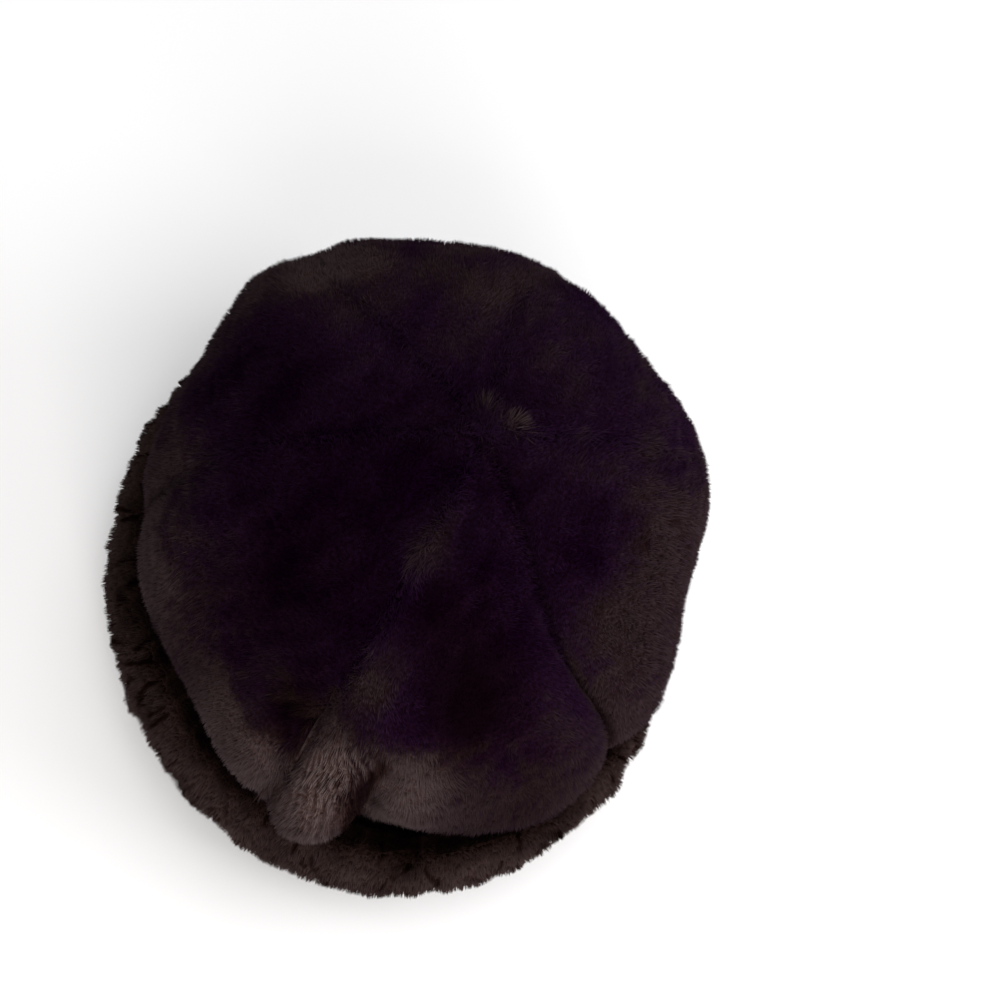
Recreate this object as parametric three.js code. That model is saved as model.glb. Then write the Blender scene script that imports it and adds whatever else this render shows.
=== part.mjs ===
// A soft fur hat: a puffed crown of six fur gores over a thick rolled fur cuff.
// Millimetres, +Z up, -Y to the front, with left and right as seen from the front.
// The origin is the middle of the flat underside.

import * as THREE from "three";

// Sizes of the whole hat
const HEAD_OPENING = { width: 170, length: 200 };
const CUFF = { width: 242, length: 266 };
const CROWN = { width: 211, length: 230, rimHeight: 80, topHeight: 148 };

// Fur: hide and pile together, and how the pile rolls over into a seam
const GORE_WALL = 9.5;
const GORE_WALL_AT_HEM = 7.6;
const GORE_WALL_AT_SEAM = 5;
const GORE_WALL_LEAST = 4;
const SEAM_ROLL_WIDTH = 11;
const PIECE_GAP = 0.3;

// Crown form
const CROWN_SQUARENESS = 2.43;
const CROWN_CORNER_SHARE = 0.03;
const CROWN_LEAN = { x: 5, y: 3 };
const SEAM_DRAW_WIDTH = 14;
const SEAM_SWAY = { fromRow: 0.2, toRow: 0.62 };
const TIP_RADIUS = 1.5;
const RIM_ROW = 0.68;
const HEM_HEIGHT = 46;
const HEM_CALM_ROW = 0.88;
const HIDE_TOP_HEIGHT = CROWN.topHeight - GORE_WALL;
const HIDE_REACH = 185;
const SEAM_DRAW_ROWS = 0.25;

// Rows run down the crown: 0 at the top centre, RIM_ROW at the widest place and 1 at the sewn hem.
// Plan angles are degrees anticlockwise from +X, seen from above.

// Seams: plan angle at the rim, how far it sways on the top, how deep it is drawn in, and from which row
const SEAMS = [
  { name: "right", angle: 11, sway: -7, draw: 1.5, fromRow: 0.2 },
  { name: "back_right", angle: 62, sway: 11, draw: 1.5, fromRow: 0.2 },
  { name: "back_left", angle: 119, sway: 8, draw: 2.5, fromRow: 0.2 },
  { name: "left", angle: 184, sway: 0, draw: 3.5, fromRow: 0.25 },
  { name: "front_left", angle: 242, sway: 2, draw: 2, fromRow: 0.3 },
  { name: "front_right", angle: 303, sway: -12, draw: 8, fromRow: 0.05 },
];

// Gores, in the order of the seams that they start from, with their columns of facets: more beside the tuck
const GORES = [
  { name: "gore_back_right", columns: 12 },
  { name: "gore_back", columns: 12 },
  { name: "gore_back_left", columns: 12 },
  { name: "gore_front_left", columns: 14 },
  { name: "gore_front", columns: 28 },
  { name: "gore_front_right", columns: 12 },
];

// Dents and swellings of the crown: where, their reach across and along it, and how far out and down they go
const FOLDS = [
  { name: "seam_bump", angle: 247, row: 0.18, across: 13, along: 15, out: 4, down: 0 },
  { name: "shoulder_patch", angle: 251, row: 0.41, across: 16, along: 14, out: 3, down: 0 },
  { name: "tuck_hollow_left", angle: 236, row: 0.51, across: 14, along: 15, out: -5, down: 0 },
  { name: "tuck", angle: 248, row: 0.73, across: 9, along: 19, out: 12, down: 4 },
  { name: "tuck_pocket", angle: 257, row: 0.74, across: 9, along: 20, out: -7, down: -4 },
  { name: "tuck_brow", angle: 259, row: 0.46, across: 17, along: 10, out: 3, down: 0 },
  { name: "front_left_sag", angle: 239, row: 0.69, across: 18, along: 16, out: 10, down: -3 },
  { name: "front_sag", angle: 284, row: 0.7, across: 38, along: 26, out: 5, down: 8 },
  { name: "front_right_dent", angle: 318, row: 0.24, across: 15, along: 15, out: -3, down: 0 },
  { name: "right_flat", angle: 338, row: 0.6, across: 28, along: 30, out: -5, down: 0 },
  { name: "right_knob", angle: 8, row: 0.29, across: 6, along: 7, out: 4, down: 0 },
  { name: "right_corner", angle: 13, row: 0.55, across: 16, along: 24, out: 4, down: 0 },
  { name: "back_left_swell", angle: 128, row: 0.56, across: 22, along: 28, out: 4, down: 0 },
  { name: "left_swell", angle: 205, row: 0.7, across: 38, along: 28, out: 4, down: 2 },
];

// Creases in the pile beside the tuck: where, their reach across and along the crown, and their depth
const CREASES = [
  { name: "tuck_right_high", angle: 256, row: 0.55, across: 4, along: 12, depth: 4 },
  { name: "tuck_right", angle: 255, row: 0.72, across: 4.5, along: 22, depth: 6 },
];

// Section of the cuff from its foot outwards and up over the roll: share of the ring's width, and height
const CUFF_ROLL = [
  { name: "foot", share: 0.72, height: 0 },
  { name: "low", share: 0.93, height: 8 },
  { name: "widest", share: 1, height: 26 },
  { name: "high", share: 0.94, height: 43 },
  { name: "crest", share: 0.68, height: 54 },
  { name: "inner_slope", share: 0.42, height: 51 },
  { name: "ledge_corner", share: 0.29, height: HEM_HEIGHT - PIECE_GAP },
];
const CUFF_INNER_FOOT = { share: 0.05, height: 5 };
const CUFF_ROLL_CENTRE = { share: 0.6, height: 27 };

// Locks of the cuff's fur: how many, how far they stand out, and the slow waves that make them uneven
const LOCK_COUNT = 60;
const LOCK_RELIEF = 4;
const LOCK_LIVELINESS = [
  { waves: 14, share: 0.15 },
  { waves: 38, share: 0.1 },
];

// Fineness of the facets
const GORE_ROWS = 20;
const CUFF_STEPS_PER_LOCK = 2;
const CUFF_ROLL_STEPS = 11;
const TURN_STEP = 0.4;
const ROW_STEP = 0.004;

const CROWN_COLOUR = 0x21171a;
const CUFF_COLOUR = 0x201615;
const FUR_ROUGHNESS = 0.95;

const radians = THREE.MathUtils.degToRad;
const lerp = THREE.MathUtils.lerp;
const smoothstep = THREE.MathUtils.smoothstep;
const clamp01 = (value) => THREE.MathUtils.clamp(value, 0, 1);
const bell = (distance, width) => Math.exp(-((distance / width) ** 2));

// Radius of an oval at a plan angle in degrees
function ovalRadius({ width, length }, angle) {
  const across = Math.cos(radians(angle)) / (width / 2);
  const along = Math.sin(radians(angle)) / (length / 2);
  return 1 / Math.hypot(across, along);
}

// The signed turn from one plan angle to another, within half a turn, in degrees
function turn(from, to) {
  return THREE.MathUtils.euclideanModulo(to - from + 180, 360) - 180;
}

function turnAhead(from, to) {
  return THREE.MathUtils.euclideanModulo(to - from, 360);
}

// Plan angle of a seam at a row: it sways over the top and comes to its own place at the rim
function seamAngle(index, row) {
  const { angle, sway } = SEAMS[index % SEAMS.length];
  return angle + sway * (1 - smoothstep(row, SEAM_SWAY.fromRow, SEAM_SWAY.toRow));
}

// Where an angle lies between the two seams beside it, from 0 to 1
function placeBetweenSeams(angle, row) {
  for (let index = 0; index < SEAMS.length; index += 1) {
    const start = seamAngle(index, row);
    const place = turnAhead(start, angle) / turnAhead(start, seamAngle(index + 1, row));
    if (place < 1) {
      return place;
    }
  }
  return 0;
}

// A point of the smooth crown, without its folds
function smoothPoint(angle, row) {
  const corner = CROWN_CORNER_SHARE * Math.cos(2 * Math.PI * placeBetweenSeams(angle, row));
  const rim = (ovalRadius(CROWN, angle) - GORE_WALL) * (1 + corner);
  let radius;
  let height;
  if (row < RIM_ROW) {
    const sweep = (row / RIM_ROW) * (Math.PI / 2);
    radius = rim * Math.sin(sweep) ** (2 / CROWN_SQUARENESS);
    height = lerp(CROWN.rimHeight, HIDE_TOP_HEIGHT, Math.cos(sweep) ** (2 / CROWN_SQUARENESS));
  } else {
    const drop = (row - RIM_ROW) / (1 - RIM_ROW);
    const hem = ovalRadius(HEAD_OPENING, angle) + PIECE_GAP;
    radius = lerp(hem, rim, (1 + Math.cos(Math.PI * drop)) / 2);
    height = lerp(CROWN.rimHeight, HEM_HEIGHT, drop);
  }
  const lift = (height - HEM_HEIGHT) / (HIDE_TOP_HEIGHT - HEM_HEIGHT);
  const x = radius * Math.cos(radians(angle)) + CROWN_LEAN.x * lift;
  const y = radius * Math.sin(radians(angle)) + CROWN_LEAN.y * lift;
  return new THREE.Vector3(x, y, height);
}

// How much of a fold or crease is felt at a place, from 0 to 1
function foldShare(fold, angle, row, radius) {
  const arc = radius * radians(turn(fold.angle, angle));
  return bell(arc, fold.across) * bell((row - fold.row) * HIDE_REACH, fold.along);
}

// A point on the hide's inner face: the smooth crown, drawn in at its seams, with its dents and swellings
function hidePoint(angle, row) {
  const point = smoothPoint(angle, row);
  const radius = Math.hypot(point.x, point.y);
  let out = 0;
  let down = 0;
  SEAMS.forEach((seam, index) => {
    const drawn = smoothstep(row, seam.fromRow, seam.fromRow + SEAM_DRAW_ROWS);
    const arc = radius * radians(turn(seamAngle(index, row), angle));
    out -= seam.draw * drawn * bell(arc, SEAM_DRAW_WIDTH);
  });
  for (const fold of FOLDS) {
    const share = foldShare(fold, angle, row, radius);
    out += fold.out * share;
    down += fold.down * share;
  }
  const calm = 1 - smoothstep(row, HEM_CALM_ROW, 1);
  point.addScaledVector(outward(smoothPoint, angle, row), out * calm);
  point.z -= down * calm;
  return point;
}

// Outward direction of a surface given as a function of plan angle and row
function outward(surface, angle, row) {
  const along = surface(angle, Math.min(row + ROW_STEP, 1)).sub(surface(angle, Math.max(row - ROW_STEP, 0)));
  const around = surface(angle + TURN_STEP, row).sub(surface(angle - TURN_STEP, row));
  return along.cross(around).normalize();
}

// Thickness of hide and pile: thin where it is sewn, full a little way in from the seam
function goreWall(fromSeam, row) {
  const roll = clamp01(fromSeam / SEAM_ROLL_WIDTH);
  const full = lerp(GORE_WALL, GORE_WALL_AT_HEM, smoothstep(row, RIM_ROW, 1));
  return lerp(GORE_WALL_AT_SEAM, full, Math.sin((Math.PI / 2) * roll));
}

// How far the pile is parted at a place by the creases
function creaseDepth(angle, row, radius) {
  return CREASES.reduce((sum, crease) => sum + crease.depth * foldShare(crease, angle, row, radius), 0);
}

// Row of the gore's tip, where the gores' points stop just short of each other
function tipRow() {
  const share = TIP_RADIUS / (CROWN.width / 2 - GORE_WALL);
  return (RIM_ROW * Math.asin(share ** (CROWN_SQUARENESS / 2))) / (Math.PI / 2);
}

// Columns across a gore: even at its tip, and closer together beside the seams further down
function columnShare(column, columns, row) {
  const even = column / columns;
  const gathered = (1 - Math.cos(Math.PI * even)) / 2;
  return lerp(even, gathered, smoothstep(row, 0, RIM_ROW / 2));
}

// One gore as two grids of points, the pile's outer face and the hide's inner face
function goreGrids(index) {
  const { columns } = GORES[index];
  const outer = [];
  const inner = [];
  for (let i = 0; i <= GORE_ROWS; i += 1) {
    const row = lerp(tipRow(), 1, i / GORE_ROWS);
    const start = seamAngle(index, row);
    const width = turnAhead(start, seamAngle(index + 1, row));
    const middle = smoothPoint(start + width / 2, row);
    const radius = Math.hypot(middle.x, middle.y);
    const edge = THREE.MathUtils.radToDeg(Math.asin(PIECE_GAP / 2 / radius));
    const outerRow = [];
    const innerRow = [];
    for (let j = 0; j <= columns; j += 1) {
      const share = columnShare(j, columns, row);
      const angle = start + lerp(edge, width - edge, share);
      const fromSeam = radius * radians(width) * Math.min(share, 1 - share);
      const point = hidePoint(angle, row);
      const wall = Math.max(goreWall(fromSeam, row) - creaseDepth(angle, row, radius), GORE_WALL_LEAST);
      const face = point.clone().addScaledVector(outward(hidePoint, angle, row), wall);
      face.z = Math.max(face.z, HEM_HEIGHT);
      innerRow.push(point);
      outerRow.push(face);
    }
    outer.push(outerRow);
    inner.push(innerRow);
  }
  return { outer, inner };
}

// A closed wall between two grids of points: both faces and the four edges between them
function wallGeometry({ outer, inner }) {
  const rows = outer.length;
  const columns = outer[0].length;
  const points = [...outer.flat(), ...inner.flat()];
  const faces = [];
  const out = (i, j) => i * columns + j;
  const inn = (i, j) => rows * columns + i * columns + j;
  const quad = (a, b, c, d) => faces.push(a, b, c, a, c, d);
  for (let i = 0; i < rows - 1; i += 1) {
    for (let j = 0; j < columns - 1; j += 1) {
      quad(out(i, j), out(i + 1, j), out(i + 1, j + 1), out(i, j + 1));
      quad(inn(i, j), inn(i, j + 1), inn(i + 1, j + 1), inn(i + 1, j));
    }
    quad(out(i, 0), inn(i, 0), inn(i + 1, 0), out(i + 1, 0));
    quad(out(i, columns - 1), out(i + 1, columns - 1), inn(i + 1, columns - 1), inn(i, columns - 1));
  }
  for (let j = 0; j < columns - 1; j += 1) {
    quad(out(0, j), out(0, j + 1), inn(0, j + 1), inn(0, j));
    quad(out(rows - 1, j), inn(rows - 1, j), inn(rows - 1, j + 1), out(rows - 1, j + 1));
  }
  return indexedGeometry(points, faces);
}

function indexedGeometry(points, faces) {
  const geometry = new THREE.BufferGeometry().setFromPoints(points);
  geometry.setIndex(faces);
  geometry.computeVertexNormals();
  return geometry;
}

// The cuff's roll as a curve of ring share and height
const cuffRoll = new THREE.SplineCurve(
  CUFF_ROLL.map(({ share, height }) => new THREE.Vector2(share, height)),
);

// How far the fur stands out at a step round the cuff: locks with valleys between them
function lockRelief(step, angle) {
  if (step % CUFF_STEPS_PER_LOCK !== 0) {
    return 0;
  }
  let share = 1;
  for (const { waves, share: most } of LOCK_LIVELINESS) {
    share -= most * (1 - Math.sin(radians(waves * angle)));
  }
  return LOCK_RELIEF * share;
}

// One closed section of the cuff at a plan angle
function cuffSection(step, angle) {
  const innerRadius = ovalRadius(HEAD_OPENING, angle);
  const outerRadius = ovalRadius(CUFF, angle) - LOCK_RELIEF;
  const relief = lockRelief(step, angle);
  const radiusAt = (share) => lerp(innerRadius, outerRadius, share);
  const place = (radius, height) => {
    return new THREE.Vector3(radius * Math.cos(radians(angle)), radius * Math.sin(radians(angle)), height);
  };
  const centre = new THREE.Vector2(radiusAt(CUFF_ROLL_CENTRE.share), CUFF_ROLL_CENTRE.height);
  const section = [place(innerRadius, CUFF_INNER_FOOT.height), place(radiusAt(CUFF_INNER_FOOT.share), 0)];
  cuffRoll.getPoints(CUFF_ROLL_STEPS).forEach(({ x: share, y: height }, i) => {
    const point = new THREE.Vector2(radiusAt(share), Math.max(height, 0));
    const stand = relief * Math.sqrt(Math.max(Math.sin((Math.PI * i) / CUFF_ROLL_STEPS), 0));
    point.addScaledVector(point.clone().sub(centre).normalize(), stand);
    section.push(place(point.x, Math.max(point.y, 0)));
  });
  section.push(place(innerRadius, HEM_HEIGHT - PIECE_GAP));
  return section;
}

// A closed ring through closed sections
function ringGeometry(sections) {
  const count = sections.length;
  const sides = sections[0].length;
  const faces = [];
  const at = (i, j) => (i % count) * sides + (j % sides);
  for (let i = 0; i < count; i += 1) {
    for (let j = 0; j < sides; j += 1) {
      faces.push(at(i, j), at(i + 1, j), at(i + 1, j + 1));
      faces.push(at(i, j), at(i + 1, j + 1), at(i, j + 1));
    }
  }
  return indexedGeometry(sections.flat(), faces);
}

function cuffGeometry() {
  const steps = LOCK_COUNT * CUFF_STEPS_PER_LOCK;
  const sections = [];
  for (let step = 0; step < steps; step += 1) {
    sections.push(cuffSection(step, (360 * step) / steps));
  }
  return ringGeometry(sections);
}

function furMesh(name, geometry, color) {
  const material = new THREE.MeshStandardMaterial({ color, roughness: FUR_ROUGHNESS, metalness: 0 });
  const mesh = new THREE.Mesh(geometry, material);
  mesh.name = name;
  return mesh;
}

const hat = new THREE.Group();
GORES.forEach(({ name }, index) => hat.add(furMesh(name, wallGeometry(goreGrids(index)), CROWN_COLOUR)));
hat.add(furMesh("fur_cuff", cuffGeometry(), CUFF_COLOUR));

export default hat;
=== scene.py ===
"""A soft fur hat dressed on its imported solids: hides, sheared crown pile, cuff fur and a plain stage."""

import math
from functools import partial

import bmesh
import bpy
import numpy as np
from bpy.props import FloatProperty, FloatVectorProperty, IntProperty, PointerProperty
from bpy.types import Operator, Panel, PropertyGroup
from mathutils import Matrix, Vector
from mathutils.kdtree import KDTree


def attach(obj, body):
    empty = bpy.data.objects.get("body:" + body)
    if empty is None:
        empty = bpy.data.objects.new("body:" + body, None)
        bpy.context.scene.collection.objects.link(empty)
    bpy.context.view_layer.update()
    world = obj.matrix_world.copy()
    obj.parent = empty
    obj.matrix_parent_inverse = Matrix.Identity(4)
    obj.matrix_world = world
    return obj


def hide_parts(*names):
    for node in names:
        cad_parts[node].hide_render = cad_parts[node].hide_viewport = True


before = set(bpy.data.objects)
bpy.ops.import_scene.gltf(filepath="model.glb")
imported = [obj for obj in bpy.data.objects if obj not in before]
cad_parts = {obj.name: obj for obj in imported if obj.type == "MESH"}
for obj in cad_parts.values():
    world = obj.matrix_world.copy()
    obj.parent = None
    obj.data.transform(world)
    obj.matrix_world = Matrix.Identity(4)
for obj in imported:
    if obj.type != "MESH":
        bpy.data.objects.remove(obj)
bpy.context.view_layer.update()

bl_info = {
    "name": "Fur Hat",
    "version": (1, 0, 0),
    "blender": (4, 5, 0),
    "location": "View3D > Sidebar > Fur Hat",
    "description": "Dresses a gored fur hat: hides, sheared crown pile, cuff fur and a plain stage",
    "category": "Add Mesh",
}

MM = 0.001

# Pieces of the hat
GORES = sorted(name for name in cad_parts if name.startswith("gore_"))
FAN_GORE = "gore_front"
CUFF = "fur_cuff"
CROWN_SLOT = "crown_fur"
CUFF_SLOT = "cuff_fur"
BODY = "root"
CUFF_HALVES = (("cuff_fur_left", -1, 300), ("cuff_fur_right", 1, 310))
CROWN_SEED = 100
CROWN_SEED_STEP = 10
HAT_CORE = np.array([0.0, 0.0, 60 * MM])

# How the solids are smoothed, and which way counts as outside
MERGE_DISTANCE = 0.001 * MM
QUAD_ANGLE = math.radians(50)
OUTSIDE_FROM = 0.25
OUTSIDE_TO = 0.6
INSIDE_FACING = -0.3
FOOT_FACING = (0.9, 0.98)
INNER_WALL_FACING = (0.55, 0.85)
FURRED_LEAST = 0.5
LENGTH_LEAST = 1e-12

# How hairs are stored: faces from three root corners to a tip, a tone for the colour and the share of the
# way along, cut down by the painted shade of the hair's place, with a small step from corner to corner so
# that every face has some area on its map
HAIR_FACES = ((2, 1, 0), (0, 1, 3), (1, 2, 3), (2, 0, 3))
BAKE_MAP = "OFBake"
TONE = "tone"
ALONG_AND_SHADE = "along"
BESIDE = "beside_seam"
TONE_STEP = 0.015
ALONG_STEP = 0.02
TONE_LEAST = 0.02
TONE_MOST = 0.98
SHADE_MOST = 0.95
STEEP = 0.8

# How tone becomes colour, and how much of the tips' colour is left on the way down to the roots: painted
# shade, which also darkens hairs and under-fur wherever their painted shade cuts down their share of the way
# along
TONE_STOPS = (0.0, 0.3, 0.54, 1.0)
ROOT_SHADES = (
    (0.0, (0.13, 0.085, 0.07)),
    (0.25, (0.29, 0.22, 0.19)),
    (0.5, (0.43, 0.405, 0.395)),
    (1.0, (1.0, 1.0, 1.0)),
)

# How uneven the hairs of the crown and the cuff are, and how far they flick and are combed
GATHERED = (0.5, 1.0)
CROWN_HAIR = {
    "height": 0.3 * MM,
    "height_most": 0.7 * MM,
    "stand": (0.4, 1.0),
    "over_seam": (0.2, 1.0),
    "width": (0.75, 1.25),
    "tone": 0.05,
    "clump_tone": 0.05,
    "flick": 0.5,
}
CUFF_HAIR = {
    "height": (0.88, 1.08),
    "width": (0.7, 1.2),
    "tone": 0.04,
    "lock_tone": 0.06,
    "flick": 0.6,
    "comb_out": 1.2,
    "comb_down": 0.8,
}
FLOOR_CLEARANCE = 0.4 * MM

# Wandering fields: about how long their waves are, in mm, and the seed that they are drawn from
WANDER_COLUMNS = ("name", "wavelength", "seed")
WANDER_ROWS = (
    ("crown_nap", 34, 11),
    ("crown_flick", 9, 12),
    ("crown_patches", 38, 14),
    ("crown_lumps", 11, 15),
    ("crown_swells", 26, 16),
    ("crown_mottle", 15, 17),
    ("crown_strokes", 3, 18),
    ("crown_curdle", 7, 19),
    ("fan_waver", 12, 20),
    ("cuff_nap", 22, 21),
    ("cuff_flick", 7, 22),
    ("cuff_patches", 30, 23),
    ("cuff_lumps", 10, 25),
    ("cuff_swells", 24, 26),
)
WANDERS = {row[0]: dict(zip(WANDER_COLUMNS, row)) for row in WANDER_ROWS}
WANDER_WAVES = 28
WANDER_SPREAD = (0.5, 1.7)
SWELL_SHARE = 0.8

# Core of the cuff's roll, the angles up over it between which its fur goes down into the hollow's shadow,
# and how deep that painted shadow is
ROLL_CORE = {"width": 213 * MM, "length": 240 * MM, "height": 27 * MM}
HOLLOW_FROM = math.radians(64)
HOLLOW_TO = math.radians(115)
HOLLOW_PAINTED_SHADE = 0.5
CUFF_PATCH_TONE = 0.1

# Partings of the cuff's fur: where in its share of the turn each lies, how far up the roll, its slant and
# reach, how many more hairs stand there, and how much deeper, darker and wider they are, the darkness being
# painted shade in the parting
PARTING_SEED = 27
PARTING_PLACE = (0.1, 0.9)
PARTING_RISE = (-0.5, 1.6)
PARTING_SLANT = 0.3
PARTING_REACH = (0.12, 0.4)
PARTING_CROWD = 3
PARTED_LEAST = 0.5
PARTING_SINK = 0.3 * MM
PARTING_SHADOW_TONE = 0.2
PARTED_SHADE = 0.85
PARTED_WIDTH = 0.5

# How far the crown's hem is turned down into the cuff, how much further at a gore's corners, and the heights
# that it is turned in between
HEM_TURN_IN = 5 * MM
HEM_CORNER_TURN_IN = 4 * MM
HEM_LOW = 47 * MM
HEM_HIGH = 57 * MM

# How the solids roll down into the crown's seams
SEAM_ROLL_WIDTH = 11 * MM
SEAM_ROLL_DEPTH = 4.5 * MM
SEAM_RUFFLE_REACH = 3 * MM
SEAM_RUFFLE = 0.55
SEAM_LEAN = 1.1
SEAM_CROWD = 2.0
SEAM_FILL = 1.3 * MM
SEAM_UPRIGHT = 1.5
SEAM_SINK = 0.4 * MM
SEAM_SEWN = 0.8 * MM
SEAM_WALL_FACING = 0.75
SEAM_BLEND_DEG = 14.0
SEAM_PULL_LEAST = 1e-9
SEAM_FADE_LOW = 52 * MM
SEAM_FADE_HIGH = 66 * MM
SEAM_TOP_REACH = 70 * MM
SEAM_RIM_REACH = 98 * MM

# How far the pile closes over each seam, and how dark it is there as painted shade in the seam's groove: on
# the top, and near the rim
SEAM_COLUMNS = ("name", "angle", "top_close", "rim_close", "top_shade", "rim_shade")
SEAM_ROWS = (
    ("right", 8, 0.95, 0.7, 0.0, 0.15),
    ("back_right", 66, 0.9, 0.9, 0.1, 0.0),
    ("back_left", 122, 1.0, 0.5, 0.0, 0.1),
    ("left", 184, 1.0, 0.4, 0.0, 0.35),
    ("front_left", 243, 1.0, 0.15, 0.0, 0.35),
    ("front_right", 297, 0.4, 0.15, 0.4, 0.8),
)
SEAMS = [dict(zip(SEAM_COLUMNS, row)) for row in SEAM_ROWS]

# Tone of the crown's pile: from flat to upright, dark on the flat top and paler on the upright sides as
# painted shade and sheen of the pile seen end-on and from the side, in patches that fade on the sides, and
# in strokes down them
UPRIGHT = (0.1, 0.68)
PATCH_TONE = 0.08
MOTTLE_TONE = 0.06
PATCH_FADE = 0.8
STROKE_TONE = 0.05
SIDE_TONE_MOST = 0.56

# Strokes of the nap on the sides: their length in widths, and the radius they are drawn at
STROKE_LENGTH = 6
STROKE_RADIUS = 105 * MM

# Where the nap is curdled into small lumps, how it steps down between them, and its shade there and
# elsewhere
CURDLED = {"x": 78, "y": -20, "reach": 42}
CURDLE_STEP = (0.3, 1.5)
CURDLED_SHADE = 0.5
LEAST_CURDLED_SHADE = 0.1

# Strokes that fan out below the pinch: where they start and how far off they are strongest, in mm, which way
# they run and how wide they fan, in degrees, how many there are in a turn, and how deep they are, with
# painted shade between them
FAN_START = {"x": -44, "y": -86, "reach": 15, "fade": 12}
FAN = {"angle": -70, "spread": 34, "count": 48, "waver": 1.2, "tone": 0.2, "shade": 1.0}

# Where the gores' points meet: centre and reach in mm, how the pile draws in over it, and its extra height
CROWN_POINT = {"x": 5, "y": 3, "reach": 6, "draw": 1.1, "stand": 2.2, "shut": 1.6}

# Places where the pile is ruffled or flattened: centre and reach in mm, which way it leans, how far it
# spreads away from the centre, its extra height in mm, its tone short of pale, how much paler still and how
# much more in shadow it is, and the only gore whose height, tone and shade it changes. Tone and paleness are
# partly the nap's own patches and partly painted light: painted highlights on the tufts, bump, tuck, band
# and lit flanks and sides, and painted shade in the hollow, brow, pocket and dent
RUFFLE_COLUMNS = (
    "name", "x", "y", "reach", "lean_x", "lean_y", "spread", "stand", "tone", "pale", "shade", "gore",
)
RUFFLE_ROWS = (
    ("top_left", 6, 11, 4.5, -0.5, 0.7, 0, 1.0, 0.4, 0.06, 0, ""),
    ("top_right", 15, 8, 5, 0.7, 0.4, 0, 1.0, 0.4, 0.06, 0, ""),
    ("top_far", 38, 6, 4, 0.3, 0.3, 0, 0.6, 0.2, 0, 0, ""),
    ("top_patch", 22, 54, 28, 0, 0, 0, 0, 0.2, 0, 0, ""),
    ("top_middle", 6, 26, 28, 0, 0, 0, 0, 0.08, 0, 0, ""),
    ("bump", -14, -39, 9, -0.3, -0.9, 0, 0.6, 0.42, 0, 0, ""),
    ("bump_back", -8, -27, 8, 0, 0, 0, 0, 0.18, 0, 0, ""),
    ("knob", 66, 7, 6, 0.8, 0.3, 0, 1.2, 0.3, 0, 0, ""),
    ("right_high", 74, -12, 9, 0.3, 0, 0, 0.9, 0.1, 0, 0, ""),
    ("right_middle", 68, -34, 9, 0, 0, 0, 0.9, 0.1, 0, 0, ""),
    ("right_seam", 45, -60, 14, 0, 0, 0, 0, 0.22, 0, 0, "gore_front_right"),
    ("right_low", 60, -62, 16, 0, 0, 0, 0.9, 0.25, 0, 0, ""),
    ("right_side", 82, -30, 46, 0, 0, 0, 0, 0.38, 0, 0, ""),
    ("right_back", 90, 36, 36, 0, 0, 0, 0, 0.18, 0, 0, ""),
    ("back", 10, 96, 48, 0, 0, 0, 0, 0.34, 0, 0, ""),
    ("back_left", -42, 62, 28, 0, 0, 0, 0, 0.14, 0, 0, ""),
    ("notch", -48, 76, 22, 0, 0, 0, 0, 0.5, 0.07, 0, ""),
    ("left", -92, 4, 14, 0, 0, 0, 0, 0.15, 0, 0, ""),
    ("left_side", -99, -24, 26, 0, 0, 0, 0, 0.1, 0.06, 0, ""),
    ("left_dark", -62, -50, 23, 0, 0, 0, 0, 0, 0, 0.4, "gore_front_left"),
    ("left_low", -78, -80, 12, 0, 0, 0, 0, 0.3, 0.09, 0, "gore_front_left"),
    ("front_high", -10, -60, 13, 0, 0, 0, 0, 0, 0, 0.35, "gore_front"),
    ("front_dark", 3, -79, 16, 0, 0, 0, 0, 0, 0, 0.7, "gore_front"),
    ("front_low", 0, -89, 10, 0, 0, 0, 0, 0, 0, 0.7, "gore_front"),
    ("patch", -29, -77, 11, -0.1, -0.5, 0, 0.3, 0.4, 0, 0, "gore_front"),
    ("brow", -36, -90, 5, 0, 0, 0, 0, -0.1, 0, 0.2, "gore_front"),
    ("tuck_top", -44, -86, 16, 0, 0, 1.2, 0, 0, 0, 0, "gore_front"),
    ("tuck_high", -42, -97, 6, 0, 0, 0, 0, 0.3, 0.27, 0, "gore_front"),
    ("tuck", -43, -107, 11, 0, 0, 0, 0.6, 0.3, 0.28, 0, "gore_front"),
    ("band", -8, -104, 22, 0, 0, 0, 0, 0.15, 0, 0, "gore_front"),
    ("band_left", -14, -106, 11, 0, 0, 0, 0, 0.1, 0.13, 0, "gore_front"),
    ("band_right", 28, -106, 18, 0, 0, 0, 0, 0, 0, 0.35, "gore_front"),
    ("band_end", 34, -88, 11, 0, 0, 0, 0, 0.2, 0, 0, "gore_front"),
    ("hollow", -52, -83, 8, 0, 0.3, 0, 0, -0.25, 0, 0.85, "gore_front_left"),
    ("flank", -61, -94, 14, 0, 0, 0, 0, 0.5, 0.13, 0, "gore_front_left"),
    ("pocket_high", -25, -101, 2.5, 0, 0, 0, 0, -0.1, 0, 0.8, "gore_front"),
    ("pocket", -27, -105.5, 3, 0, 0, 0, 0, -0.1, -0.1, 1.0, "gore_front"),
    ("pocket_low", -29, -110, 5, 0, 0, 0, 0, -0.1, -0.1, 1.0, "gore_front"),
    ("dent", 42, -37, 9, 0, 0, 0, 0, -0.2, 0, 0, ""),
)
RUFFLES = [dict(zip(RUFFLE_COLUMNS, row)) for row in RUFFLE_ROWS]

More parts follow.
